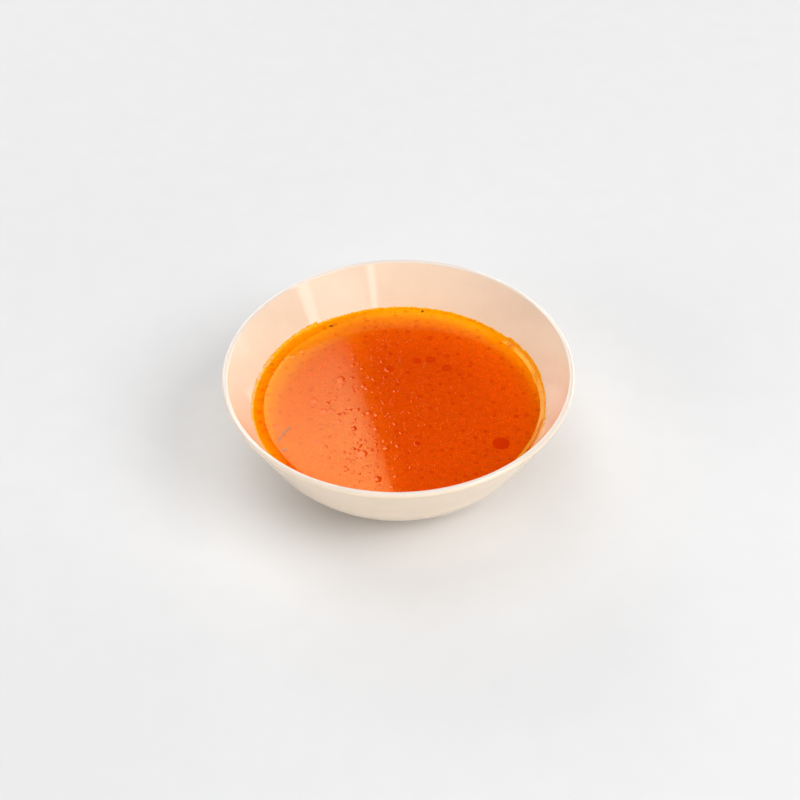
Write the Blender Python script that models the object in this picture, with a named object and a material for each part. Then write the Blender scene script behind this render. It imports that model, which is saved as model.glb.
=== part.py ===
"""Bowl of soup: a round glazed stoneware bowl and the broth that fills it.

The bowl is turned from one profile: a round lip, a straight flared wall of even thickness,
a round turn into the flat floor, and a low foot ring with a shallow recess inside it.
The broth is a second solid, up to its level, with the low rim that a liquid draws up a wall.

Metres, +Z up. The origin is under the middle of the foot, on the surface the bowl stands on.
"""
import math

import bmesh
import bpy
from mathutils import Vector

# Bowl
RIM_RADIUS = 0.085           # outermost circle of the lip
HEIGHT = 0.057               # from the table to the top of the lip
WALL = 0.003                 # even thickness of wall and lip
WALL_SLOPE = math.radians(63)    # of the straight wall, up from the horizontal
STRAIGHT_DROP = 0.0263       # from the middle of the lip down to the end of the straight wall
TURN_RADIUS = 0.055          # outside radius of the turn between wall and floor
FLOOR_TOP = 0.0045           # height of the inside floor

# Foot ring
FOOT_RADIUS = 0.041          # outside
FOOT_WIDTH = 0.0035
FOOT_ROUND = 0.0006          # rounding of its two lower edges
RECESS = 0.0015              # depth of the underside inside the ring

# Broth
SOUP_LEVEL = 0.034           # height of its flat surface
MENISCUS_RISE = 0.0015       # how far it climbs the wall
MENISCUS_FADE = 0.0016       # distance in which that climb falls to a third
MENISCUS_WIDTH = 0.007       # width of the ring that is drawn up
SOUP_GAP = 0.0003            # clearance to the bowl

SEGMENTS = 80                # facets round the axis
LIP_STEPS = 8
TURN_STEPS = 7
ROUND_STEPS = 3
MENISCUS_STEPS = 5
MENISCUS_CROWDING = 1.5      # above 1, its points crowd towards the wall
SHARP_EDGE = math.radians(35)

GLAZE_COLOUR = (0.88, 0.66, 0.49, 1.0)
GLAZE_ROUGHNESS = 0.3
BROTH_COLOUR = (0.78, 0.10, 0.004, 1.0)
BROTH_ROUGHNESS = 0.08


def arc(centre, radius, start, end, steps):
    """Points (r, z) along an arc, both ends included, angles up from the outward direction."""
    angles = [start + (end - start) * i / steps for i in range(steps + 1)]
    return [(centre[0] + radius * math.cos(a), centre[1] + radius * math.sin(a)) for a in angles]


# The outer wall leaves the lip as its tangent. Both turns share one centre, so that the
# wall keeps its thickness round them.
LIP_RADIUS = WALL / 2
LIP_CENTRE = (RIM_RADIUS - LIP_RADIUS, HEIGHT - LIP_RADIUS)
OUTWARD = WALL_SLOPE - math.pi / 2           # direction square to the outer wall
WALL_TOP = (LIP_CENTRE[0] + LIP_RADIUS * math.cos(OUTWARD),
            LIP_CENTRE[1] + LIP_RADIUS * math.sin(OUTWARD))
TURN_TOP_Z = LIP_CENTRE[1] - STRAIGHT_DROP
TURN_TOP_R = WALL_TOP[0] - (WALL_TOP[1] - TURN_TOP_Z) / math.tan(WALL_SLOPE)
TURN_CENTRE = (TURN_TOP_R - TURN_RADIUS * math.cos(OUTWARD),
               TURN_TOP_Z - TURN_RADIUS * math.sin(OUTWARD))


def inside_surface(offset):
    """The bowl's inside from the end of its straight wall down to the axis, moved in by offset."""
    radius = TURN_RADIUS - WALL - offset
    floor = FLOOR_TOP + offset
    meets_floor = math.asin((floor - TURN_CENTRE[1]) / radius)
    return arc(TURN_CENTRE, radius, OUTWARD, meets_floor, TURN_STEPS) + [(0.0, floor)]


def bowl_profile():
    """Half section of the bowl, from the axis underneath, round the outside, to the axis inside."""
    foot_in = FOOT_RADIUS - FOOT_WIDTH
    meets_foot = -math.acos((FOOT_RADIUS - TURN_CENTRE[0]) / TURN_RADIUS)
    turn = arc(TURN_CENTRE, TURN_RADIUS, meets_foot, OUTWARD, TURN_STEPS)
    lip = arc(LIP_CENTRE, LIP_RADIUS, OUTWARD, OUTWARD + math.pi, LIP_STEPS)
    ring_in = arc((foot_in + FOOT_ROUND, FOOT_ROUND), FOOT_ROUND, math.pi, 1.5 * math.pi, ROUND_STEPS)
    ring_out = arc((FOOT_RADIUS - FOOT_ROUND, FOOT_ROUND), FOOT_ROUND, -math.pi / 2, 0, ROUND_STEPS)
    return [(0.0, RECESS), (foot_in, RECESS)] + ring_in + ring_out + turn + lip + inside_surface(0.0)


def soup_profile():
    """Half section of the broth, from the axis below, up along the wall and back over the top."""
    side = inside_surface(SOUP_GAP)
    brim = SOUP_LEVEL + MENISCUS_RISE
    edge = side[0][0] + (brim - side[0][1]) / math.tan(WALL_SLOPE)
    top = []
    for i in range(MENISCUS_STEPS + 1):
        away = MENISCUS_WIDTH * (i / MENISCUS_STEPS) ** MENISCUS_CROWDING
        top.append((edge - away, SOUP_LEVEL + MENISCUS_RISE * math.exp(-away / MENISCUS_FADE)))
    return side[::-1] + top + [(0.0, SOUP_LEVEL)]


def principled(name, colour, roughness):
    material = bpy.data.materials.new(name)
    material.use_nodes = True
    shader = material.node_tree.nodes["Principled BSDF"]
    shader.inputs["Base Color"].default_value = colour
    shader.inputs["Roughness"].default_value = roughness
    shader.inputs["Metallic"].default_value = 0.0
    return material


def turn_solid(name, profile, material):
    """Turn a half section, whose two ends lie on the axis, into one closed solid."""
    bm = bmesh.new()
    points = [bm.verts.new((r, 0.0, z)) for r, z in profile]
    edges = [bm.edges.new(pair) for pair in zip(points, points[1:])]
    bmesh.ops.spin(bm, geom=points + edges, cent=Vector((0, 0, 0)), axis=Vector((0, 0, 1)),
                   dvec=Vector((0, 0, 0)), angle=2 * math.pi, steps=SEGMENTS, use_merge=True)
    bmesh.ops.remove_doubles(bm, verts=bm.verts, dist=1e-6)
    bmesh.ops.recalc_face_normals(bm, faces=bm.faces)
    mesh = bpy.data.meshes.new(name)
    bm.to_mesh(mesh)
    bm.free()
    mesh.materials.append(material)
    mesh.shade_smooth()
    mesh.set_sharp_from_angle(angle=SHARP_EDGE)
    solid = bpy.data.objects.new(name, mesh)
    bpy.context.collection.objects.link(solid)
    return solid


for old in list(bpy.data.objects):
    bpy.data.objects.remove(old, do_unlink=True)

turn_solid("bowl", bowl_profile(), principled("glazed_stoneware", GLAZE_COLOUR, GLAZE_ROUGHNESS))
turn_solid("soup", soup_profile(), principled("broth", BROTH_COLOUR, BROTH_ROUGHNESS))
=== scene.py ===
"""Looks of the bowl of soup: a glazed stoneware bowl, a spiced orange broth and the oil on it."""

import math
import random

import bmesh
import bpy
from mathutils import Matrix, Vector


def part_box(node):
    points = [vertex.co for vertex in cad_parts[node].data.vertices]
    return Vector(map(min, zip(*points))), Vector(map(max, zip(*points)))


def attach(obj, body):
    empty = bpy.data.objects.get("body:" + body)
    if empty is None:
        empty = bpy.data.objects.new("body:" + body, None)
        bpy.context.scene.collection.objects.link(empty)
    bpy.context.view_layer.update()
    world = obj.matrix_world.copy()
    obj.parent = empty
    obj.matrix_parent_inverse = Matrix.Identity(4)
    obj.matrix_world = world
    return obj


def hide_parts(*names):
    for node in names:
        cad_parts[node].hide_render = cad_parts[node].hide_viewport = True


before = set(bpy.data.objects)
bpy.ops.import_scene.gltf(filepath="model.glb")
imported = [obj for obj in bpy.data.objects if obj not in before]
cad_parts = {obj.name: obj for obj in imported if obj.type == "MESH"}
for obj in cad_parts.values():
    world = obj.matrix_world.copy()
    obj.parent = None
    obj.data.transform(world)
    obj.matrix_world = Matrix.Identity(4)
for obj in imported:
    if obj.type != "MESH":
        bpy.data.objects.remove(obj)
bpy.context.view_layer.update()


# Camera: a long lens that looks down onto the bowl at 43 degrees, from 80 centimetres away. It is
# held a degree off level, which tips the lip a little in the picture.
LENS = 72.0                            # millimetres
SENSOR = 36.0
CAMERA_PLACE = (0.0006, -0.5745, 0.5710)
LOOK_DOWN = math.radians(42.98)
CAMERA_ROLL = math.radians(-1.09)

camera_data = bpy.data.cameras.new("camera")
camera_data.lens = LENS
camera_data.sensor_width = SENSOR
camera = bpy.data.objects.new("camera", camera_data)
bpy.context.scene.collection.objects.link(camera)
camera.matrix_world = (Matrix.Translation(CAMERA_PLACE)
                       @ Matrix.Rotation(math.pi / 2 - LOOK_DOWN, 4, "X")
                       @ Matrix.Rotation(CAMERA_ROLL, 4, "Z"))
bpy.context.scene.camera = camera
bpy.context.scene.view_settings.view_transform = "Standard"


# Floor: a plain pale table top, matt and almost white. Its mottling can hardly be seen, and it is
# so wide that its edges stay out of the camera's view.
FLOOR_SIZE = 12.0
FLOOR_COLOUR = (0.79, 0.79, 0.795)
FLOOR_CLOUDS = (60.0, 0.985, 1.0)      # spots to a metre, then lightness from and to
FLOOR_ROUGHNESS = 0.7
FLOOR_IOR = 1.3
NOISE_SPREAD = (0.3, 0.7)              # where nearly all values of a noise lie
NOISE_DETAIL = 2.0


def principled(name, roughness, ior):
    """A new material, its node tree and its shader, which holds what is the same all over."""
    material = bpy.data.materials.new(name)
    material.use_nodes = True
    shader = material.node_tree.nodes["Principled BSDF"]
    shader.inputs["Roughness"].default_value = roughness
    shader.inputs["IOR"].default_value = ior
    return material, material.node_tree, shader


def node(tree, kind, inputs, **settings):
    """A shader node with its settings, and each of its inputs linked or set."""
    made = tree.nodes.new("ShaderNode" + kind)
    for key, value in settings.items():
        setattr(made, key, value)
    for key, value in inputs.items():
        if isinstance(value, bpy.types.NodeSocket):
            tree.links.new(value, made.inputs[key])
        else:
            made.inputs[key].default_value = value
    return made


def position(tree):
    """Where a point lies on the piece, which is also where it lies in the world."""
    return tree.nodes.new("ShaderNodeTexCoord").outputs["Object"]


def mapped(tree, value, start, end, low=0.0, high=1.0, course="LINEAR"):
    """A value that goes from low to high while another goes from start to end."""
    spread = {"Value": value, "From Min": start, "From Max": end, "To Min": low, "To Max": high}
    return node(tree, "MapRange", spread, interpolation_type=course).outputs["Result"]


def mottle(tree, scale, low, high):
    """A value that drifts between low and high over the surface, scale times a metre."""
    noise = node(tree, "TexNoise", {"Vector": position(tree), "Scale": scale, "Detail": NOISE_DETAIL})
    return mapped(tree, noise.outputs["Fac"], *NOISE_SPREAD, low, high)


def times(tree, colour, value):
    """A colour made lighter or darker by a value, or tinted by a second colour."""
    return node(tree, "VectorMath", {0: colour, 1: value}, operation="MULTIPLY").outputs["Vector"]


def shown(name, mesh, material):
    """A mesh as an object at the origin, shaded smooth."""
    mesh.materials.append(material)
    mesh.shade_smooth()
    piece = bpy.data.objects.new(name, mesh)
    bpy.context.scene.collection.objects.link(piece)
    return piece


def new_piece(name, bm, material):
    """A bmesh as a named object."""
    mesh = bpy.data.meshes.new(name)
    bm.to_mesh(mesh)
    bm.free()
    return shown(name, mesh, material)


floor_material, floor_tree, floor_shader = principled("pale_table", FLOOR_ROUGHNESS, FLOOR_IOR)
floor_tree.links.new(times(floor_tree, FLOOR_COLOUR, mottle(floor_tree, *FLOOR_CLOUDS)),
                     floor_shader.inputs["Base Color"])
floor_bm = bmesh.new()
bmesh.ops.create_grid(floor_bm, x_segments=1, y_segments=1, size=FLOOR_SIZE / 2)
floor = new_piece("floor", floor_bm, floor_material)


# Light: a soft window behind on the left, which the broth mirrors, a paler one below it, a soft key
# in front on the right, two soft lights overhead, one on the left and a low bounce behind on the
# right. Two narrow strips with a dim panel between them draw streaks on the inner wall.
ROOM_FILL = 0.045                      # even light from all round
AIM = Vector((0.0, 0.0, 0.034))
LIGHT_DISTANCE = 2.0
JAMB = (0.0412, 0.0700)                # shares of the window's width in which it fades in from the right
JAMB_CURVE = 0.5                       # below 1, that fade is steepest at its start
SILL = 0.426                           # share of its height in which it fades in from below
SILL_CURVE = 0.57


def soft_box(name, azimuth, elevation, width, height, radiance, roll=0.0):
    """A rectangular light that faces the bowl, azimuth clockwise from straight behind it."""
    data = bpy.data.lights.new(name, "AREA")
    data.shape = "RECTANGLE"
    data.size = width
    data.size_y = height
    data.energy = radiance * math.pi * width * height
    light = bpy.data.objects.new(name, data)
    bpy.context.scene.collection.objects.link(light)
    turn = math.radians(azimuth)
    lift = math.radians(elevation)
    away = Vector((math.sin(turn) * math.cos(lift), math.cos(turn) * math.cos(lift), math.sin(lift)))
    facing = away.to_track_quat("Z", "Y").to_matrix().to_4x4()
    rolled = Matrix.Rotation(math.radians(roll), 4, "Z")
    light.matrix_world = Matrix.Translation(AIM + away * LIGHT_DISTANCE) @ facing @ rolled
    return light


def worked_out(tree, operation, *values):
    """The result of an operation on some values."""
    return node(tree, "Math", dict(enumerate(values)), operation=operation).outputs["Value"]


def faded_in(tree, place, start, end, curve):
    """0 to 1 while a place on the light goes from start to end."""
    return worked_out(tree, "POWER", mapped(tree, place, start, end), curve)


# degrees round and up, width and height in metres, radiance
window = soft_box("window", -23.85, 47.16, 1.217, 0.46, 6.6, roll=-2.1)
soft_box("window_below", -27.0, 21.0, 1.51, 1.22, 2.8)
soft_box("key", 122.0, 43.0, 1.1, 1.1, 6.0)
soft_box("overhead", 180.0, 62.0, 1.2, 1.2, 2.0)
soft_box("top", -42.0, 72.0, 1.2, 1.2, 2.1).visible_glossy = False
soft_box("left_side", 240.0, 20.0, 1.6, 1.0, 2.7).visible_glossy = False
soft_box("bounce", 37.0, 9.0, 2.1, 0.6, 4.9)
soft_box("strip_right", 118.5, 9.0, 0.28, 0.6, 3.4)
soft_box("strip_front", 163.5, 14.0, 0.17, 0.6, 3.4)
soft_box("panel", 141.0, 11.0, 1.2, 0.6, 1.65)

window.visible_diffuse = False
window.data.use_nodes = True
window_tree = window.data.node_tree
pane_place = node(window_tree, "NewGeometry", {}).outputs["Parametric"]
pane = node(window_tree, "SeparateXYZ", {"Vector": pane_place})
jamb = faded_in(window_tree, pane.outputs["X"], *JAMB, JAMB_CURVE)
sill = faded_in(window_tree, pane.outputs["Y"], 0.0, SILL, SILL_CURVE)
window_tree.links.new(worked_out(window_tree, "MULTIPLY", jamb, sill),
                      window_tree.nodes["Emission"].inputs["Strength"])

room = bpy.data.worlds.new("room")
room.use_nodes = True
room.node_tree.nodes["Background"].inputs["Strength"].default_value = ROOM_FILL
room.node_tree.nodes["Background"].inputs["Color"].default_value = (1.0, 1.0, 1.0, 1.0)
room.cycles_visibility.glossy = False
bpy.context.scene.world = room


# Bowl: one piece of stoneware, thrown and turned, with a round lip, a straight flared wall and a
# low foot ring. A smooth peach glaze covers it, thin and pale over the lip, and the ring that it
# stands on is wiped bare.
bowl_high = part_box("bowl")[1]
RIM_RADIUS = bowl_high.x
HEIGHT = bowl_high.z
WALL = 0.003
WALL_SLOPE = math.radians(63)          # up from the horizontal
STRAIGHT_DROP = 0.0263                 # from the middle of the lip to the end of the straight wall
TURN_RADIUS = 0.055                    # outside, between wall and floor
FLOOR_TOP = 0.0045
FOOT_RADIUS = 0.041
FOOT_WIDTH = 0.0035
FOOT_ROUND = 0.0006
RECESS = 0.0015
LIP_RADIUS = WALL / 2
LIP_CENTRE = (RIM_RADIUS - LIP_RADIUS, HEIGHT - LIP_RADIUS)
OUTWARD = WALL_SLOPE - math.pi / 2     # direction square to the outer wall
TURN_TOP_Z = LIP_CENTRE[1] - STRAIGHT_DROP
TURN_TOP_R = (LIP_CENTRE[0] + LIP_RADIUS * math.cos(OUTWARD)
              - (LIP_CENTRE[1] + LIP_RADIUS * math.sin(OUTWARD) - TURN_TOP_Z) / math.tan(WALL_SLOPE))
TURN_CENTRE = (TURN_TOP_R - TURN_RADIUS * math.cos(OUTWARD),
               TURN_TOP_Z - TURN_RADIUS * math.sin(OUTWARD))
ROUND_THE_BOWL = 256                   # facets, and then those of the arcs in its section
TURN_STEPS = 24
LIP_STEPS = 20
FOOT_STEPS = 5
SAME_PLACE = 1e-6                      # points closer than this are one
SHARP = math.radians(40)               # edges that turn more than this stay crisp
GLAZE = (0.94, 0.768, 0.582)
GLAZE_CLOUDS = (120.0, 0.97, 1.0)      # spots to a metre, then lightness from and to
GLAZE_GRAIN = (1400.0, 0.975, 1.0)
GLAZE_WAVES = (90.0, 0.0, 1.0)
GLAZE_WAVE_DEPTH = 0.00004
GLAZE_WAVE_STRENGTH = 0.5
GLAZE_ROUGHNESS = 0.10
GLAZE_IOR = 1.56
THIN_GLAZE = (0.83, 0.725, 0.64)
LIP_FADE = (0.0560, 0.0568)            # heights between which the glaze thins
CLAY = (0.62, 0.50, 0.38)
CLAY_ROUGHNESS = 0.85
BARE_BELOW = 0.0009
BARE_FADE = 0.8                        # share of that height below which it is bare all over


def arc(centre, radius, start, end, steps):
    """Points (r, z) along an arc, both ends included, angles up from the outward direction."""
    angles = [start + (end - start) * i / steps for i in range(steps + 1)]
    return [(centre[0] + radius * math.cos(a), centre[1] + radius * math.sin(a)) for a in angles]


def inside_surface(offset):
    """The bowl's inside from the end of its straight wall down to the axis, moved in by offset."""
    radius = TURN_RADIUS - WALL - offset
    depth = FLOOR_TOP + offset
    meets_floor = math.asin((depth - TURN_CENTRE[1]) / radius)
    return arc(TURN_CENTRE, radius, OUTWARD, meets_floor, TURN_STEPS) + [(0.0, depth)]


def bowl_profile():
    """Half section of the bowl, from the axis underneath, round the outside, to the axis inside."""
    foot_in = FOOT_RADIUS - FOOT_WIDTH
    meets_foot = -math.acos((FOOT_RADIUS - TURN_CENTRE[0]) / TURN_RADIUS)
    turn = arc(TURN_CENTRE, TURN_RADIUS, meets_foot, OUTWARD, TURN_STEPS)
    lip = arc(LIP_CENTRE, LIP_RADIUS, OUTWARD, OUTWARD + math.pi, LIP_STEPS)
    ring_in = arc((foot_in + FOOT_ROUND, FOOT_ROUND), FOOT_ROUND, math.pi, 1.5 * math.pi, FOOT_STEPS)
    ring_out = arc((FOOT_RADIUS - FOOT_ROUND, FOOT_ROUND), FOOT_ROUND, -math.pi / 2, 0, FOOT_STEPS)
    return [(0.0, RECESS), (foot_in, RECESS)] + ring_in + ring_out + turn + lip + inside_surface(0.0)


def spun(bm, profile, steps, closed=False):
    """Turns a half section round the axis. Its ends lie on the axis, or it is a closed loop."""
    points = [bm.verts.new((r, 0.0, z)) for r, z in profile]
    nexts = points[1:] + points[:1] if closed else points[1:]
    edges = [bm.edges.new(pair) for pair in zip(points, nexts)]
    bmesh.ops.spin(bm, geom=points + edges, cent=Vector((0, 0, 0)), axis=Vector((0, 0, 1)),
                   dvec=Vector((0, 0, 0)), angle=2 * math.pi, steps=steps, use_merge=True)


def closed_up(bm):
    """Merges points that lie in one place and turns all faces outward."""
    bmesh.ops.remove_doubles(bm, verts=bm.verts, dist=SAME_PLACE)
    bmesh.ops.recalc_face_normals(bm, faces=bm.faces)


def turned(profile, steps, closed=False):
    """A bmesh of one shape, turned from a half section."""
    bm = bmesh.new()
    spun(bm, profile, steps, closed)
    closed_up(bm)
    return bm


def mix(tree, share, under, over):
    """One colour laid over another by a share."""
    made = node(tree, "Mix", {0: share}, data_type="RGBA")    # colours: inputs 6 and 7, output 2
    for socket, value in ((made.inputs[6], under), (made.inputs[7], over)):
        if isinstance(value, bpy.types.NodeSocket):
            tree.links.new(value, socket)
        else:
            socket.default_value = (*value, 1.0)
    return made.outputs[2]


def between(tree, value, start, end, low=0.0, high=1.0):
    """A value that goes smoothly from low to high while another goes from start to end."""
    return mapped(tree, value, start, end, low, high, "SMOOTHSTEP")


glaze, glaze_tree, glaze_shader = principled("peach_glaze", GLAZE_ROUGHNESS, GLAZE_IOR)
height = node(glaze_tree, "SeparateXYZ", {"Vector": position(glaze_tree)}).outputs["Z"]
colour = times(glaze_tree, GLAZE, mottle(glaze_tree, *GLAZE_CLOUDS))
colour = times(glaze_tree, colour, mottle(glaze_tree, *GLAZE_GRAIN))
colour = mix(glaze_tree, between(glaze_tree, height, *LIP_FADE), colour, THIN_GLAZE)
bare = between(glaze_tree, height, BARE_BELOW, BARE_BELOW * BARE_FADE)
glaze_tree.links.new(mix(glaze_tree, bare, colour, CLAY), glaze_shader.inputs["Base Color"])
glaze_tree.links.new(between(glaze_tree, bare, 0.0, 1.0, GLAZE_ROUGHNESS, CLAY_ROUGHNESS),
                     glaze_shader.inputs["Roughness"])
waves = {"Height": mottle(glaze_tree, *GLAZE_WAVES), "Strength": GLAZE_WAVE_STRENGTH,
         "Distance": GLAZE_WAVE_DEPTH}
glaze_tree.links.new(node(glaze_tree, "Bump", waves).outputs["Normal"], glaze_shader.inputs["Normal"])

bowl = new_piece("stoneware_bowl", turned(bowl_profile(), ROUND_THE_BOWL), glaze)
bowl.data.set_sharp_from_angle(angle=SHARP)
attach(bowl, "root")
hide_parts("bowl")


# Broth: a hot orange-red soup, deep red over the depth of the bowl and yellow where it is shallow
# at the wall. It climbs the wall in a meniscus, and a ring of darker oil has gathered on the left.
MILLIMETRE = 0.001
MENISCUS = 0.0015                      # height of the frame's even meniscus
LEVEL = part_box("soup")[1].z - MENISCUS
REACH = 0.0003                         # how far the broth's body goes into the wall
ROUND_THE_BROTH = 360
RING_WIDTH = 0.012                     # outer part of the surface, with close rings
RING_STEPS = 48
RING_CROWDING = 1.5
OPEN_STEPS = 20
BROTH_EDGE = (                         # degrees from +X, the meniscus' rise, width and curve, the oil's top
    (0, 1.1, 2.0, 1.05, 2.4),
    (10, 1.1, 2.1, 1.05, 2.5),
    (12.5, 1.1, 2.3, 1.05, 3.2),
    (27, 1.1, 2.3, 1.05, 3.3),
    (28.5, 1.1, 2.3, 1.05, 2.6),
    (30, 1.1, 2.3, 1.05, 3.0),
    (36.5, 1.0, 2.2, 1.05, 3.0),
    (40, 0.8, 1.8, 1.3, 2.0),
    (50, 0.7, 1.6, 1.8, 1.8),
    (65, 0.6, 1.6, 2.0, 1.8),
    (90, 0.6, 1.6, 2.0, 1.5),
    (110, 0.6, 2.4, 2.2, 1.4),
    (126, 0.7, 5.0, 2.6, 1.8),
    (149, 0.8, 7.0, 2.8, 1.7),
    (152, 0.8, 7.0, 2.8, 1.1),
    (180, 0.75, 8.0, 3.0, 1.0),
    (195, 0.7, 8.0, 3.0, 0.8),
    (212, 0.6, 8.0, 3.0, 0.5),
    (240, 0.6, 6.0, 2.6, 0.8),
    (290, 0.5, 4.0, 2.0, 0.9),
    (325, 0.35, 2.8, 1.2, 1.4),
    (340, 0.5, 2.6, 1.2, 2.0),
    (352, 1.0, 2.2, 1.15, 2.3),
    (360, 1.1, 2.0, 1.05, 2.4),
)                                      # all but the angle and the curve in millimetres
DEEPEST = (0.004, -0.012)              # the point that looks deepest
SIDE_SCALE = 1.09                      # the depth shrinks faster to the sides
RAMP_END = 0.09
DEPTH_COLOURS = (                      # by distance from there
    (0.042, (0.735, 0.064, 0.0007)),
    (0.055, (0.795, 0.073, 0.0007)),
    (0.064, (0.840, 0.087, 0.0007)),
    (0.069, (0.850, 0.112, 0.0007)),
    (0.073, (0.930, 0.190, 0.0007)),
    (0.077, (0.980, 0.240, 0.0007)),
    (0.084, (1.000, 0.285, 0.0007)),
)
RED_SHARE = 0.25                       # how far the red goes along when the tone turns to yellow
OIL_RING_SIDE = (105, 135, 235, 255)   # angles at which the dark oil starts, is full, thins and ends
OIL_RING_ENDS = (                      # how far it reaches from the wall, by angle
    (140, 0.0038), (158, 0.0047), (185, 0.0050), (210, 0.0054),
)
OIL_RING_EDGE = 0.0003                 # half the width of its soft inner edge
OIL_RING_TONES = (1.06, 0.84)          # at the wall and at its inner side
OIL_RING_FRONT = 0.32                  # how much yellower it is in front on the left
OIL_RING_FRONT_SIDE = (196, 214)
OIL_RING_GLOSS = (0.6, 0.005)          # gloss just inside it, and how far on it is full again
GLOW = (1.26, 0.0088)                  # tone just inside the ring, and the distance at which it has faded
SHALLOWS = (                           # tones at the wall elsewhere, by angle
    (0, 1.15), (40, 1.2), (48, 1.35), (55, 1.5), (63, 1.42),
    (85, 1.38), (93, 1.33), (100, 1.2), (108, 1.07), (118, 1.0),
)
SHALLOW_FADE = (0.0020, 0.0085)
DULL_SIDE = (10, 17, 44, 50)           # angles between which the meniscus on the right has no gloss
DULL_REACH = (0.0060, 0.0085)
BACK_DIP = 0.19                        # how much redder the broth is behind on the left
BACK_DIP_SIDE = (88, 105, 118, 130)
BACK_DIP_REACH = (0.004, 0.008, 0.011, 0.015)
BRIM_HIGHLIGHT_SIDE = (-42, -34, 37, 41)              # angles of the painted highlight on the right, a pale band on the meniscus that stands for the light it mirrors
BRIM_HIGHLIGHT_START = ((-14, 0.0012), (-8, -0.001))                 # its outer side, by angle
BRIM_HIGHLIGHT_END = ((-30, 0.0028), (-15, 0.0024), (-5, 0.0020))    # its inner side
BRIM_HIGHLIGHT_EDGES = (0.0003, 0.0002)          # half the widths of these soft sides
# colour of the painted highlight on the brim
BRIM_HIGHLIGHT_COLOUR = (1.0, 0.36, 0.025)
WINDOW_GLOW_SLOPE = 0.178                   # a painted streak of window light, beside the window's mirror image, lies where X, slope times Y and offset add up to 0
WINDOW_GLOW_OFFSET = 0.0136
WINDOW_GLOW_WIDTH = 0.0095
WINDOW_GLOW_END = (0.058, 0.046)            # it fades over this stretch of Y
WINDOW_GLOW_TONE = 0.30
BROTH_CLOUDS = (350.0, 0.92, 1.05)     # spots to a metre, then lightness from and to
BROTH_GRAIN = (1700.0, 0.87, 1.13)
BRIGHT_SPECKS = (850.0, 0.22, 0.75)    # cells to a metre, size of a speck in its cell, share of empty cells
BRIGHT_SPECK_COLOUR = (0.98, 0.29, 0.015)
DARK_SPECKS = (190.0, 0.29, 0.62)
DARK_SPECK_TINT = (0.86, 0.58, 1.0)
SPECK_SHARE = 0.75                     # how strongly they show
SPECK_CORE = 0.4                       # share of a speck that has its full colour
SPECK_CHANCE = 0.1                     # stretch of chances over which specks come in
SWELL_SCALE = 40.0
SWELL_HEIGHT = 0.00002
BROTH_SHEEN = (0.85, 0.55, 0.0, 1.0)   # tint of what it mirrors
BROTH_ROUGHNESS = 0.04
BROTH_IOR = 1.45
FULL_GLOSS = 0.5                       # the shader's own value


def blend(low, high, share):
    """A number part of the way from one to another."""
    return low + (high - low) * share


def eased(value, start, end):
    """0 before start, 1 after end, smooth between."""
    share = min(1.0, max(0.0, (value - start) / (end - start)))
    return share * share * (3.0 - 2.0 * share)


def stepped(stations, value):
    """The numbers that belong to a value, from stations that each hold a value and its numbers."""
    for before, after in zip(stations, stations[1:]):
        if value <= after[0]:
            share = eased(value, before[0], after[0])
            return [blend(low, high, share) for low, high in zip(before[1:], after[1:])]
    return stations[-1][1:]


def within(value, rises, full, falls, ends):
    """0 before and after a stretch, 1 along it."""
    return eased(value, rises, full) * (1.0 - eased(value, falls, ends))


def wall_radius(z):
    """Radius of the bowl's straight inner wall at a height."""
    lip_end = OUTWARD + math.pi
    top_r = LIP_CENTRE[0] + LIP_RADIUS * math.cos(lip_end)
    top_z = LIP_CENTRE[1] + LIP_RADIUS * math.sin(lip_end)
    return top_r - (top_z - z) / math.tan(WALL_SLOPE)


def broth_edge(angle):
    """Rise, width and curve of the meniscus and the top of the oil at an angle from +X."""
    rise, width, curve, top = stepped(BROTH_EDGE, math.degrees(angle) % 360.0)
    return rise * MILLIMETRE, width * MILLIMETRE, curve, top * MILLIMETRE


def surface(x, y):
    """Height of the broth's surface."""
    rise, width, curve, _ = broth_edge(math.atan2(y, x))
    away = max(0.0, wall_radius(LEVEL + rise) - math.hypot(x, y))
    return LEVEL + rise * max(0.0, 1.0 - away / width) ** curve


def skin(x, y):
    """How yellow, above 1, or red, below 1, the broth is at a place, how glossy, and how much painted
    highlight it has.
    """
    angle = math.atan2(y, x)
    degrees = math.degrees(angle) % 360.0
    away = wall_radius(LEVEL + broth_edge(angle)[0]) - math.hypot(x, y)
    shallow = blend(1.0, stepped(SHALLOWS, degrees)[0], 1.0 - eased(away, *SHALLOW_FADE))
    shallow -= BACK_DIP * within(degrees, *BACK_DIP_SIDE) * within(away, *BACK_DIP_REACH)

    oily = within(degrees, *OIL_RING_SIDE)
    ring_end = stepped(OIL_RING_ENDS, degrees)[0]
    inside = eased(away, ring_end - OIL_RING_EDGE, ring_end + OIL_RING_EDGE)
    ring_tone = blend(*OIL_RING_TONES, eased(away, 0.0, ring_end))
    ring_tone *= 1.0 + OIL_RING_FRONT * eased(degrees, *OIL_RING_FRONT_SIDE)
    glow = blend(1.0, GLOW[0], 1.0 - eased(away, ring_end, GLOW[1]))
    tone = blend(shallow, blend(ring_tone, glow, inside), oily)
    clearing = blend(OIL_RING_GLOSS[0], 1.0, eased(away, ring_end, ring_end + OIL_RING_GLOSS[1]))
    gloss = 1.0 - oily * (1.0 - inside * clearing)

    turned_right = degrees - 360.0 if degrees > 180.0 else degrees
    starts = stepped(BRIM_HIGHLIGHT_START, turned_right)[0]
    ends = stepped(BRIM_HIGHLIGHT_END, turned_right)[0]
    outer, inner = BRIM_HIGHLIGHT_EDGES
    painted_highlight = within(away, starts - outer, starts + outer, ends - inner, ends + inner)
    painted_highlight *= within(turned_right, *BRIM_HIGHLIGHT_SIDE)
    gloss *= 1.0 - (1.0 - painted_highlight) * within(turned_right, *DULL_SIDE) * (1.0 - eased(away, *DULL_REACH))
    return tone, gloss, painted_highlight


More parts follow.
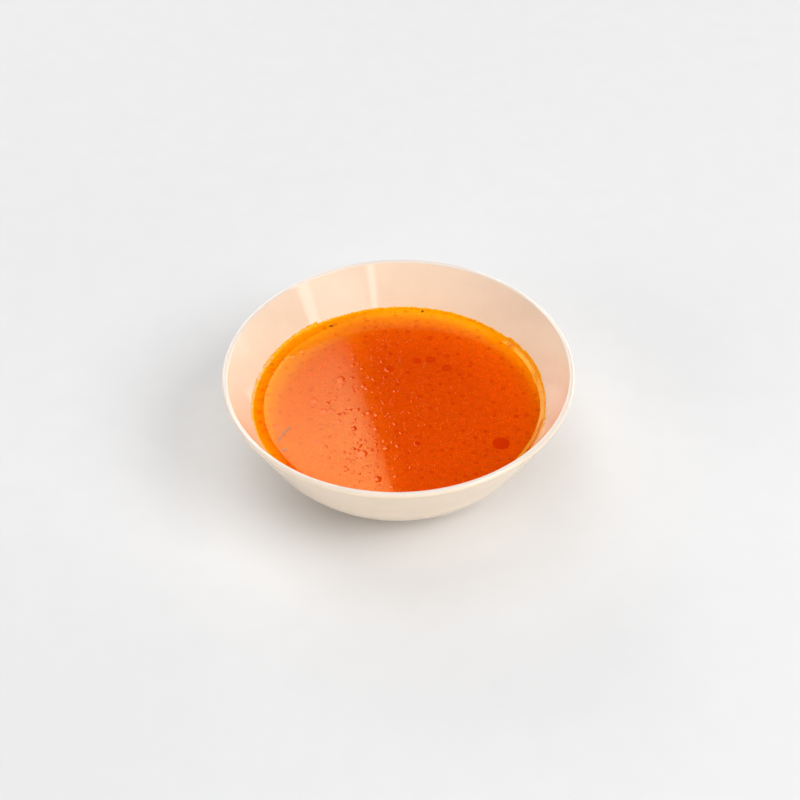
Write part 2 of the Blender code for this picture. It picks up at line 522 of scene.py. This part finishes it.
def lay_skin(mesh):
    """The skin's three values at the points of a mesh."""
    values = zip(*[skin(vert.co.x, vert.co.y) for vert in mesh.vertices])
    for name, column in zip(("tone", "gloss", "painted_highlight"), values):
        mesh.attributes.new(name, "FLOAT", "POINT").data.foreach_set("value", column)


def broth_profile():
    """Half section with a flat top: from the axis below, up just inside the wall, back to the axis."""
    edge = wall_radius(LEVEL)
    ring = [edge - RING_WIDTH * (i / RING_STEPS) ** RING_CROWDING for i in range(RING_STEPS + 1)]
    middle = [ring[-1] * (1 - i / OPEN_STEPS) for i in range(1, OPEN_STEPS + 1)]
    return inside_surface(-REACH)[::-1] + [(edge + REACH, LEVEL)] + [(r, LEVEL) for r in ring + middle]


def attribute(tree, name):
    """A number that the mesh holds at its points."""
    return node(tree, "Attribute", {}, attribute_name=name).outputs["Fac"]


def yellowed(tree, colour, value, red=1.0):
    """A colour made yellower by a value above 1, or redder by one below 1."""
    tint = node(tree, "CombineXYZ", {"X": red, "Y": value, "Z": 1.0})
    return times(tree, colour, tint.outputs["Vector"])


def window_glow(tree):
    """1, and more along the painted streak of window light."""
    place = position(tree)
    across = node(tree, "VectorMath", {0: place, 1: (1.0, WINDOW_GLOW_SLOPE, 0.0)}, operation="DOT_PRODUCT")
    offset = worked_out(tree, "ADD", across.outputs["Value"], WINDOW_GLOW_OFFSET)
    near = between(tree, worked_out(tree, "ABSOLUTE", offset), WINDOW_GLOW_WIDTH, 0.0)
    back = node(tree, "SeparateXYZ", {"Vector": place}).outputs["Y"]
    return worked_out(tree, "MULTIPLY_ADD", near, between(tree, back, *WINDOW_GLOW_END, 0.0, WINDOW_GLOW_TONE), 1.0)


def depth_colour(tree):
    """Colour of the broth, by the distance from its deepest-looking point."""
    flat = node(tree, "Mapping", {"Vector": position(tree), "Scale": (SIDE_SCALE, 1.0, 0.0),
                                  "Location": (-DEEPEST[0] * SIDE_SCALE, -DEEPEST[1], 0.0)})
    away = node(tree, "VectorMath", {0: flat.outputs["Vector"]}, operation="LENGTH").outputs["Value"]
    ramp = node(tree, "ValToRGB", {"Fac": mapped(tree, away, 0.0, RAMP_END)})
    stops = ramp.color_ramp.elements
    while len(stops) < len(DEPTH_COLOURS):
        stops.new(0.5)
    for stop, (distance, colour) in zip(stops, DEPTH_COLOURS):
        stop.position = distance / RAMP_END
        stop.color = (*colour, 1.0)
    # the tone carries the painted streak of window light
    tone = worked_out(tree, "MULTIPLY", attribute(tree, "tone"), window_glow(tree))
    red = worked_out(tree, "MULTIPLY_ADD", tone, RED_SHARE, 1.0 - RED_SHARE)
    colour = yellowed(tree, ramp.outputs["Color"], tone, red)
    # the painted highlight on the right brim, laid over the broth's colour
    return mix(tree, attribute(tree, "painted_highlight"), colour, BRIM_HIGHLIGHT_COLOUR)


def specks(tree, scale, size, rarity):
    """How much of a second colour shows: small dots at random, none between them."""
    cells = node(tree, "TexVoronoi", {"Vector": position(tree), "Scale": scale}, voronoi_dimensions="2D")
    chance = node(tree, "SeparateColor", {"Color": cells.outputs["Color"]}).outputs["Red"]
    dots = between(tree, cells.outputs["Distance"], size, size * SPECK_CORE)
    chosen = between(tree, chance, rarity, rarity + SPECK_CHANCE)
    return worked_out(tree, "MULTIPLY", worked_out(tree, "MULTIPLY", dots, chosen), SPECK_SHARE)


def dulled(tree, shader):
    """Gloss as the skin has it, so that thick oil mirrors nothing."""
    gloss = worked_out(tree, "MULTIPLY", attribute(tree, "gloss"), FULL_GLOSS)
    tree.links.new(gloss, shader.inputs["Specular IOR Level"])


broth_material, broth_tree, broth_shader = principled("broth", BROTH_ROUGHNESS, BROTH_IOR)
broth_shader.inputs["Specular Tint"].default_value = BROTH_SHEEN
colour = times(broth_tree, depth_colour(broth_tree), mottle(broth_tree, *BROTH_CLOUDS))
colour = times(broth_tree, colour, mottle(broth_tree, *BROTH_GRAIN))
colour = mix(broth_tree, specks(broth_tree, *BRIGHT_SPECKS), colour, BRIGHT_SPECK_COLOUR)
darker = times(broth_tree, colour, DARK_SPECK_TINT)
colour = mix(broth_tree, specks(broth_tree, *DARK_SPECKS), colour, darker)
broth_tree.links.new(colour, broth_shader.inputs["Base Color"])
dulled(broth_tree, broth_shader)
waves = node(broth_tree, "TexNoise", {"Vector": position(broth_tree), "Scale": SWELL_SCALE, "Detail": 0.0})
swell = {"Height": waves.outputs["Fac"], "Strength": 1.0, "Distance": SWELL_HEIGHT}
broth_tree.links.new(node(broth_tree, "Bump", swell).outputs["Normal"], broth_shader.inputs["Normal"])

bm = turned(broth_profile(), ROUND_THE_BROTH)
for vert in bm.verts:
    if vert.co.z > LEVEL - SAME_PLACE:
        rise = broth_edge(math.atan2(vert.co.y, vert.co.x))[0]
        spread = wall_radius(LEVEL + rise) / wall_radius(LEVEL)
        vert.co.x *= spread
        vert.co.y *= spread
        vert.co.z = surface(vert.co.x, vert.co.y)
broth = new_piece("broth", bm, broth_material)
lay_skin(broth.data)
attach(broth, "root")
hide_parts("soup")


# Oil on the wall: a thin orange film that the swaying broth has left above its edge, thick at the
# bottom, thin and yellow at the top, with a scalloped upper line on the right.
FILM_THICKNESS = 0.00014
FILM_BOTTOM = -0.0008                  # from the broth's level
FILM_STEPS = 720
FILM_SECTION = (                       # share of the thickness, share of the height
    (-0.6, 0.0),
    (1.0, 0.0),
    (1.0, 0.25),
    (0.97, 0.5),
    (0.85, 0.75),
    (0.62, 0.9),
    (0.3, 0.98),
    (-0.1, 1.0),
    (-0.6, 0.97),
)
FILM_DRAFT = (0.1, 0.01)               # radius and size at which that section is turned before it is fitted
FILM_WAVES = ((0.00008, 71.0), (0.00006, 163.0))           # heights of the waves in its top, how many round
FILM_COLOUR = (0.98, 0.36, 0.002)
FILM_THIN_COLOUR = (0.97, 0.50, 0.02)
FILM_THIN_FROM = 0.8                   # share of its height
FILM_STREAKS = (500.0, 0.72, 1.25)     # streaks to a metre, then tone from and to
FILM_HIGHLIGHT_SIDE = (-8, 2, 37, 39)       # angles at which its lower part carries the brim's painted highlight
FILM_HIGHLIGHT_TOP = (0.0014, 0.0018)       # heights above the level over which that ends
FILM_ROUGHNESS = 0.12


def on_wall(angle, z, proud):
    """A point that stands proud of the inner wall."""
    radius = wall_radius(z) - proud
    return Vector((radius * math.cos(angle), radius * math.sin(angle), z))


film_material, film_tree, film_shader = principled("oil_film", FILM_ROUGHNESS, BROTH_IOR)
film_shader.inputs["Specular Tint"].default_value = BROTH_SHEEN
thin = between(film_tree, attribute(film_tree, "share"), FILM_THIN_FROM, 1.0)
colour = mix(film_tree, thin, FILM_COLOUR, FILM_THIN_COLOUR)
# the brim's painted highlight over the film's lower part on the right
colour = mix(film_tree, attribute(film_tree, "painted_highlight"), colour, BRIM_HIGHLIGHT_COLOUR)
film_tree.links.new(yellowed(film_tree, colour, mottle(film_tree, *FILM_STREAKS)),
                    film_shader.inputs["Base Color"])

draft_radius, draft_size = FILM_DRAFT
section = [(draft_radius + draft_size * proud, draft_size * share) for proud, share in FILM_SECTION]
bm = turned(section, FILM_STEPS, closed=True)
share_layer = bm.verts.layers.float.new("share")
highlight_layer = bm.verts.layers.float.new("painted_highlight")
for vert in bm.verts:
    angle = math.atan2(vert.co.y, vert.co.x)
    proud = (math.hypot(vert.co.x, vert.co.y) - draft_radius) / draft_size * FILM_THICKNESS
    share = vert.co.z / draft_size
    top = broth_edge(angle)[3] + sum(rise * math.sin(angle * count) for rise, count in FILM_WAVES)
    vert.co = on_wall(angle, LEVEL + FILM_BOTTOM + share * (top - FILM_BOTTOM), proud)
    vert[share_layer] = share
    low_down = 1.0 - eased(vert.co.z - LEVEL, *FILM_HIGHLIGHT_TOP)
    vert[highlight_layer] = within(math.degrees(angle), *FILM_HIGHLIGHT_SIDE) * low_down
bmesh.ops.recalc_face_normals(bm, faces=bm.faces)
film = new_piece("oil_film", bm, film_material)
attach(film, "root")


# Droplets on the wall: yellow oil that the swaying broth has left above the film, broken up into
# flat beads that cling to the glaze, mostly on the left.
DROPLET_SEED = 5
DROPLET_ZONES = (                      # degrees from and to, how many, reach above the film in mm
    (125, 152, 700, 1.4),
    (150, 190, 600, 2.0),
    (186, 206, 190, 2.6),
    (95, 126, 100, 0.4),
    (328, 352, 170, 2.4),
    (45, 95, 60, 0.3),
)
DROPLET_CROWDING = 1.3                 # above 1, they lie closest together low down
DROPLET_SINK = 0.0001                  # how far below the film's top the lowest lie
DROPLET_RADIUS = (0.00013, 0.00038)
DROPLET_SHAPE = (0.55, 1.0, 1.1)       # off the wall, along it and up it, over the radius
DROPLET_COLOUR = (1.0, 0.56, 0.004)
DROPLET_SHADES = (900.0, 0.7, 1.2)     # spots to a metre, then tone from and to
DROPLET_SHEEN = (1.0, 0.5, 0.0, 1.0)


def strewn(name, kinds, material):
    """One piece that joins copies of small shapes, of each kind a bmesh and the places of its copies."""
    corners = []
    sides = []
    for shape, places in kinds:
        shape.verts.index_update()
        for place in places:
            first = len(corners)
            corners += [place @ vert.co for vert in shape.verts]
            sides += [[first + vert.index for vert in face.verts] for face in shape.faces]
        shape.free()
    mesh = bpy.data.meshes.new(name)
    mesh.from_pydata(corners, [], sides)
    return shown(name, mesh, material)


droplet_material, droplet_tree, droplet_shader = principled("oil_droplet", FILM_ROUGHNESS, BROTH_IOR)
droplet_shader.inputs["Specular Tint"].default_value = DROPLET_SHEEN
droplet_tree.links.new(yellowed(droplet_tree, DROPLET_COLOUR, mottle(droplet_tree, *DROPLET_SHADES)),
                       droplet_shader.inputs["Base Color"])

dice = random.Random(DROPLET_SEED)
places = []
for start, end, count, reach in DROPLET_ZONES:
    for _ in range(count):
        angle = math.radians(dice.uniform(start, end))
        above = reach * MILLIMETRE * dice.random() ** DROPLET_CROWDING - DROPLET_SINK
        radius = dice.uniform(*DROPLET_RADIUS)
        size = Matrix.Diagonal((*[radius * share for share in DROPLET_SHAPE], 1.0))
        leaning = Matrix.Rotation(angle, 4, "Z") @ Matrix.Rotation(math.pi / 2 - WALL_SLOPE, 4, "Y")
        middle = on_wall(angle, LEVEL + broth_edge(angle)[3] + above, 0.0)
        places.append(Matrix.Translation(middle) @ leaning @ size)
ball = bmesh.new()
bmesh.ops.create_icosphere(ball, subdivisions=1, radius=1.0)
droplets = strewn("wall_droplets", [(ball, places)], droplet_material)
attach(droplets, "root")


# Oil discs: flat lenses of red chilli oil that float on the broth, the largest 9 mm across. Some
# are flat, some crowned, so that their sides catch the window, and some lie in the ring of oil.
FLAT_DISCS = (                         # x, y and radius in mm, then how deep its red is
    (48.5, -30.0, 4.6, 1.0), (9.5, 30.5, 2.8, 0.75), (16.5, 31.0, 3.1, 0.65), (24.5, 24.5, 3.1, 0.7),
    (16.5, 47.8, 2.3, 0.45), (25.0, 34.0, 2.1, 0.5), (57.0, -11.5, 1.9, 0.7), (61.5, -11.5, 1.5, 0.5),
    (32.0, 17.0, 1.5, 0.7), (17.0, 8.5, 1.5, 1.0), (31.5, 27.5, 1.4, 0.5), (54.5, 14.0, 1.4, 0.5),
    (9.5, -11.5, 1.5, 0.7), (24.3, -37.0, 1.4, 0.7), (23.0, -50.0, 1.3, 0.7), (6.5, 25.0, 1.5, 0.5),
    (28.5, 52.5, 1.2, 0.5), (38.0, 43.0, 1.0, 0.7), (12.2, 23.0, 1.0, 0.7), (14.5, 1.5, 1.1, 0.7),
)
CROWNED_DISCS = (                      # the same
    (-4.5, 25.0, 2.7, 0.5), (-6.5, 18.5, 1.5, 0.6), (-4.0, 36.0, 1.5, 0.7), (8.5, -29.0, 1.8, 1.0),
    (-29.0, 17.8, 2.5, 0.1), (-28.5, 14.0, 1.2, 0.1), (-36.5, 14.5, 1.2, 0.1), (-42.0, 2.8, 2.0, 0.1),
    (-37.0, -5.0, 2.0, 0.1), (-33.5, -5.0, 1.4, 0.1), (-29.7, -12.5, 1.6, 0.1), (-34.2, -11.5, 1.0, 0.1),
    (-39.0, -27.0, 1.8, 0.2), (-40.5, -26.0, 0.8, 0.1), (-17.7, -35.2, 2.6, 0.1), (-59.3, -15.3, 1.8, 0.2),
    (-49.5, 40.5, 2.0, 0.1), (-54.0, 36.8, 2.2, 0.1), (-46.8, 46.5, 1.6, 0.1), (-26.8, 43.0, 1.0, 0.3),
)
RING_DISCS = (                         # x, y and radius in mm, then how much redder than the ring it is
    (-67.4, -12.5, 2.1, 0.36), (-68.3, -5.4, 2.0, 0.36), (-67.5, 10.7, 2.0, 0.34), (-65.8, -18.9, 1.7, 0.25),
    (-63.4, 25.7, 1.9, 0.32), (-55.4, 40.3, 1.2, 0.25), (-67.4, 3.6, 1.6, 0.30), (-60.3, 32.0, 1.2, 0.20),
)
DISC_KINDS = (                         # height over radius, how high the edge lies, in the ring or not
    (0.006, -0.000008, False, FLAT_DISCS),
    (0.016, -0.000008, False, CROWNED_DISCS),
    (0.004, 0.00006, True, RING_DISCS),
)
DISC_STEPS = 32
DISC_RINGS = 8
DISC_DEPTH = 0.00006                   # how far a disc's underside is below the surface
DISC_FULLNESS = 4                      # power of its crown, flat in the middle and steep at the edge
DISC_CLOUDS = (350.0, 0.95, 1.04)      # spots to a metre, then lightness from and to
DISC_RED = (0.66, 0.033, 0.0005)
RED_FADE = (0.8, 1.15)                 # shares of the radius over which the red goes over into the broth
RING_RED_FADE = (0.3, 1.0)
OIL_SHEEN = (1.0, 0.38, 0.05, 1.0)
OIL_ROUGHNESS = 0.04
OIL_IOR = 1.6


def disc_profile(radius, crown, lift):
    """Half section of a disc, from the middle of its top over the edge to the middle below."""
    shares = [i / DISC_RINGS for i in range(DISC_RINGS + 1)]
    top = [(share * radius, crown * radius * (1.0 - share ** DISC_FULLNESS) + lift) for share in shares]
    return [*top, (radius, -DISC_DEPTH), (0.0, -DISC_DEPTH)]


disc_material, disc_tree, disc_shader = principled("oil_disc", OIL_ROUGHNESS, OIL_IOR)
disc_shader.inputs["Specular Tint"].default_value = OIL_SHEEN
colour = times(disc_tree, depth_colour(disc_tree), mottle(disc_tree, *DISC_CLOUDS))
colour = yellowed(disc_tree, colour, attribute(disc_tree, "warmth"))
colour = mix(disc_tree, attribute(disc_tree, "red"), colour, DISC_RED)
disc_tree.links.new(colour, disc_shader.inputs["Base Color"])
dulled(disc_tree, disc_shader)

bm = bmesh.new()
red = bm.verts.layers.float.new("red")
warmth = bm.verts.layers.float.new("warmth")
for crown, lift, in_ring, kind in DISC_KINDS:
    for x, y, radius, depth in kind:
        first = len(bm.verts)
        spun(bm, disc_profile(radius * MILLIMETRE, crown, lift), DISC_STEPS)
        bm.verts.ensure_lookup_table()
        for vert in bm.verts[first:]:
            share = math.hypot(vert.co.x, vert.co.y) / (radius * MILLIMETRE)
            vert[red] = 0.0 if in_ring else depth * (1.0 - eased(share, *RED_FADE))
            vert[warmth] = 1.0 - depth * (1.0 - eased(share, *RING_RED_FADE)) if in_ring else 1.0
            vert.co.x += x * MILLIMETRE
            vert.co.y += y * MILLIMETRE
            vert.co.z += surface(vert.co.x, vert.co.y)
closed_up(bm)
discs = new_piece("oil_discs", bm, disc_material)
discs.data.set_sharp_from_angle(angle=SHARP)
lay_skin(discs.data)
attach(discs, "root")


# Oil beads: small round drops of oil in the broth's skin. The larger ones near the middle are each
# put in place, and the smaller ones are strewn over all of it, closest together left of the middle.
BEAD_SEED = 23
PLACED_BEADS = (                       # x, y and radius in mm
    (-22.5, 33.0, 0.8), (-13.3, 33.5, 0.6), (-13.3, 31.7, 0.5), (-20.0, 29.5, 0.6), (-23.0, 28.3, 1.0),
    (-8.3, 30.7, 0.9), (-30.0, 26.5, 0.8), (-18.0, 26.0, 1.0), (-23.0, 22.7, 0.7), (-14.8, 19.2, 0.8),
    (-23.3, 18.7, 1.0), (-12.5, 17.3, 0.8), (0.3, 15.5, 0.6), (-10.0, 11.2, 0.5), (-22.7, 10.2, 0.8),
    (-22.2, 8.5, 0.7), (-20.3, 9.7, 0.6), (-12.8, 8.0, 0.6), (-8.6, 7.5, 0.6), (-17.5, 12.8, 1.2),
    (-15.8, 10.6, 1.1), (-25.0, 1.7, 0.6), (-35.0, 0.7, 1.0), (-7.5, -0.2, 0.8), (-2.8, -1.3, 0.4),
    (-10.5, -2.5, 0.5), (-6.0, -9.0, 0.4), (-27.0, -7.3, 1.0), (-24.0, -4.8, 0.9), (-26.0, -4.5, 0.7),
    (-25.3, -7.0, 0.7), (-17.5, -8.0, 1.0), (-14.8, -6.8, 1.3), (-20.3, -4.5, 1.1), (-29.7, -7.8, 1.0),
    (-8.5, -5.0, 0.5), (-13.0, -3.2, 0.6), (-11.0, -8.5, 1.1), (-21.5, -11.7, 0.7), (-14.8, -16.3, 0.8),
    (-22.0, -17.8, 1.4), (-11.2, -18.2, 1.3), (-2.0, -15.0, 1.0), (0.7, -21.5, 0.8), (-22.0, -22.0, 0.6),
    (-13.3, -23.5, 0.6), (-9.7, -23.3, 0.5), (-18.8, -25.5, 0.7), (-11.5, -26.3, 0.8), (-7.4, -26.7, 0.9),
    (-3.5, -27.8, 0.8), (-20.3, -28.0, 0.7), (-18.7, -29.5, 0.9), (-11.2, -28.8, 0.9), (-22.0, -31.8, 0.9),
    (-15.3, -31.5, 0.5), (-20.0, -32.8, 0.9), (-13.5, -32.7, 0.9), (-11.0, -33.5, 0.9), (-26.5, -34.0, 0.8),
    (-24.0, -35.0, 0.6), (-21.5, -34.7, 0.5), (-35.0, -30.0, 0.7), (-33.5, -37.3, 0.6), (-11.0, -38.5, 0.5),
    (-6.2, -31.8, 1.5), (-0.8, -30.3, 1.1), (-1.7, -39.0, 0.7), (-22.0, -39.5, 0.5), (-15.5, -43.7, 0.7),
    (-10.7, -44.5, 0.8), (-24.7, -45.3, 0.7), (-17.5, -45.0, 0.4), (5.0, -45.0, 0.8), (-22.0, -47.5, 0.5),
    (-19.0, -48.5, 0.6), (-26.0, -43.5, 0.6), (-10.5, -52.2, 1.7), (-1.9, -50.7, 1.1), (-3.8, -57.3, 1.1),
    (6.6, 1.3, 0.8), (2.0, -6.5, 0.6), (1.3, -7.8, 0.5), (5.4, -7.3, 0.6), (-1.8, 8.3, 1.0),
)
PLACED_SIZE = 1.2                      # their thin edges, hard to see, reach this much further
PLACED_FLATNESS = 0.75                 # and they are this much flatter than the small ones
PLACED_SIDES = 16
BEAD_COUNT = 1500
BEAD_RADIUS = (0.00018, 0.00066)
BEAD_RARITY = 3                        # above 1, most of them are small
BEAD_SIDES = 10
BEAD_STEEPNESS = (0.045, 0.085)        # height over radius
BEAD_SECTION = (                       # half section of a bead of radius and height 1, sunk at its edge
    (0.0, 1.0),
    (0.4, 0.88),
    (0.65, 0.63),
    (0.85, 0.31),
    (1.0, 0.0),
    (1.1, -0.25),
    (0.0, -0.25),
)
BEAD_FIELD = 0.0640                    # radius of the field that they are strewn over
BEAD_BAND = (-0.034, 0.014)            # stretch of X in which they lie closest together
BEAD_SPARSE = 0.30                     # how many of them stay outside that stretch
BEAD_TINT = (0.97, 0.86, 1.0)          # redder than the broth around them
BEAD_REDNESS = (260.0, 0.0, 0.3)       # spots to a metre, then share of the discs' red from and to


def afloat(x, y, size, turn=0.0):
    """The place of a shape that floats on the broth, its size in three directions and its turn."""
    place = Matrix.Translation((x, y, surface(x, y))) @ Matrix.Rotation(math.radians(turn), 4, "Z")
    return place @ Matrix.Diagonal((*size, 1.0))


def bead_place(x, y, radius, steepness):
    """The place of a bead, round from above and as high as its steepness says."""
    return afloat(x, y, (radius, radius, radius * steepness))


bead_material, bead_tree, bead_shader = principled("oil_bead", OIL_ROUGHNESS, OIL_IOR)
bead_shader.inputs["Specular Tint"].default_value = OIL_SHEEN
colour = times(bead_tree, depth_colour(bead_tree), BEAD_TINT)
colour = mix(bead_tree, mottle(bead_tree, *BEAD_REDNESS), colour, DISC_RED)
bead_tree.links.new(colour, bead_shader.inputs["Base Color"])
dulled(bead_tree, bead_shader)

dice = random.Random(BEAD_SEED)
placed = []
for x, y, radius in PLACED_BEADS:
    steepness = dice.uniform(*BEAD_STEEPNESS) * PLACED_FLATNESS
    placed.append(bead_place(x * MILLIMETRE, y * MILLIMETRE, radius * PLACED_SIZE * MILLIMETRE, steepness))
scattered = []
while len(scattered) < BEAD_COUNT:
    angle = dice.uniform(0.0, 2.0 * math.pi)
    away = BEAD_FIELD * math.sqrt(dice.random())
    x = away * math.cos(angle)
    y = away * math.sin(angle)
    radius = blend(*BEAD_RADIUS, dice.random() ** BEAD_RARITY)
    place = bead_place(x, y, radius, dice.uniform(*BEAD_STEEPNESS))
    if dice.random() < BEAD_SPARSE or BEAD_BAND[0] < x < BEAD_BAND[1]:
        scattered.append(place)
bead_kinds = [(turned(BEAD_SECTION, PLACED_SIDES), placed), (turned(BEAD_SECTION, BEAD_SIDES), scattered)]
beads = strewn("oil_beads", bead_kinds, bead_material)
lay_skin(beads.data)
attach(beads, "root")


# Herb: one thin sliver of leaf that floats on the left, softened and faded by the hot broth, with
# a scrap of it beside.
SLIVERS = (                            # middle x, y, length and width in mm, degrees from +X, bow in mm
    (-55.5, -21.0, 12.6, 1.7, 61.0, 0.45),
    (-55.4, -32.0, 4.0, 2.0, 35.0, 0.1),
)
SLIVER_THICKNESS = 0.00022
SLIVER_FLOAT = 0.4                     # share of the thickness that is above the broth
SLIVER_PARTS_ALONG = 20                # faces
SLIVER_PARTS_ACROSS = 4
SLIVER_BLUNTNESS = 3                   # power of its outline, which is blunt at both ends
SLIVER_WAVE = (0.15, 4.0)              # how much its width wavers, and how fast
SLIVER_COLOUR = (0.66, 0.25, 0.125)
SLIVER_VEIN = (0.56, 0.205, 0.085)
SLIVER_VEINS = (420.0, 0.0, 1.0)       # veins to a metre, then share from and to
SLIVER_ROUGHNESS = 0.45
SLIVER_IOR = 1.33

herb_material, herb_tree, herb_shader = principled("softened_herb", SLIVER_ROUGHNESS, SLIVER_IOR)
herb_tree.links.new(mix(herb_tree, mottle(herb_tree, *SLIVER_VEINS), SLIVER_COLOUR, SLIVER_VEIN),
                    herb_shader.inputs["Base Color"])

bm = bmesh.new()
for x, y, length, width, turn, bow in SLIVERS:
    made = bmesh.ops.create_grid(bm, x_segments=SLIVER_PARTS_ALONG, y_segments=SLIVER_PARTS_ACROSS,
                                 size=0.5)["verts"]
    for vert in made:
        along = vert.co.x * 2.0
        waver = 1.0 - SLIVER_WAVE[0] + SLIVER_WAVE[0] * math.sin(along * SLIVER_WAVE[1])
        taper = math.sqrt(1.0 - abs(along) ** SLIVER_BLUNTNESS) * waver
        vert.co.y = vert.co.y * width * taper + bow * (1.0 - along * along)
        vert.co.x *= length
    laid = afloat(x * MILLIMETRE, y * MILLIMETRE, (MILLIMETRE, MILLIMETRE, 1.0), turn)
    bmesh.ops.transform(bm, matrix=laid, verts=made)
for vert in bm.verts:
    vert.co.z = surface(vert.co.x, vert.co.y) + SLIVER_THICKNESS * SLIVER_FLOAT
bmesh.ops.remove_doubles(bm, verts=bm.verts, dist=SAME_PLACE)
bmesh.ops.solidify(bm, geom=bm.faces[:], thickness=SLIVER_THICKNESS)
bmesh.ops.recalc_face_normals(bm, faces=bm.faces)
sliver = new_piece("herb_sliver", bm, herb_material)
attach(sliver, "root")


# Spice: three dark flakes of dried spice, two of which have washed up against the far wall, and
# crumbs of it that float along the wall behind and on the left.
FLAKES = (                             # x, y, length and width in mm, degrees from +X
    (-34.3, 59.0, 2.6, 1.4, 20.0),
    (13.3, 69.3, 2.0, 1.5, 60.0),
    (-57.5, -23.2, 0.7, 0.6, 40.0),
)
FLAKE_HEIGHT = 0.35                    # over the width
FLAKE_UNEVENNESS = 0.12                # over half the width
CRUMB_SEED = 31
CRUMB_COUNT = 24
CRUMB_SIDE = (60.0, 215.0)             # angles between which they lie
CRUMB_AWAY = (0.0005, 0.0050)          # from the wall
CRUMB_RADIUS = (0.00010, 0.00028)
CRUMB_LENGTH = 1.3                     # over the width
FLAKE_COLOUR = (0.20, 0.050, 0.006)
FLAKE_PALE = (0.50, 0.15, 0.01)
FLAKE_PATCHES = (900.0, 0.0, 1.0)      # patches to a metre, then share of the paler colour from and to
FLAKE_ROUGHNESS = 0.7
FLAKE_IOR = 1.2

spice_material, spice_tree, spice_shader = principled("spice_flake", FLAKE_ROUGHNESS, FLAKE_IOR)
spice_tree.links.new(mix(spice_tree, mottle(spice_tree, *FLAKE_PATCHES), FLAKE_COLOUR, FLAKE_PALE),
                     spice_shader.inputs["Base Color"])

dice = random.Random(CRUMB_SEED)
flakes = [(x * MILLIMETRE, y * MILLIMETRE, length / 2 * MILLIMETRE, width / 2 * MILLIMETRE, turn)
          for x, y, length, width, turn in FLAKES]
for _ in range(CRUMB_COUNT):
    angle = math.radians(dice.uniform(*CRUMB_SIDE))
    away = wall_radius(LEVEL) - dice.uniform(*CRUMB_AWAY)
    size = dice.uniform(*CRUMB_RADIUS)
    turn = dice.uniform(0.0, 180.0)
    flakes.append((away * math.cos(angle), away * math.sin(angle), size * CRUMB_LENGTH, size, turn))
bm = bmesh.new()
for x, y, half_length, half_width, turn in flakes:
    place = afloat(x, y, (half_length, half_width, half_width * FLAKE_HEIGHT), turn)
    made = bmesh.ops.create_icosphere(bm, subdivisions=2, radius=1.0, matrix=place)["verts"]
    uneven = FLAKE_UNEVENNESS * half_width
    for vert in made:
        vert.co += Vector([dice.uniform(-uneven, uneven) for _ in range(3)])
spice = new_piece("spice_flakes", bm, spice_material)
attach(spice, "root")
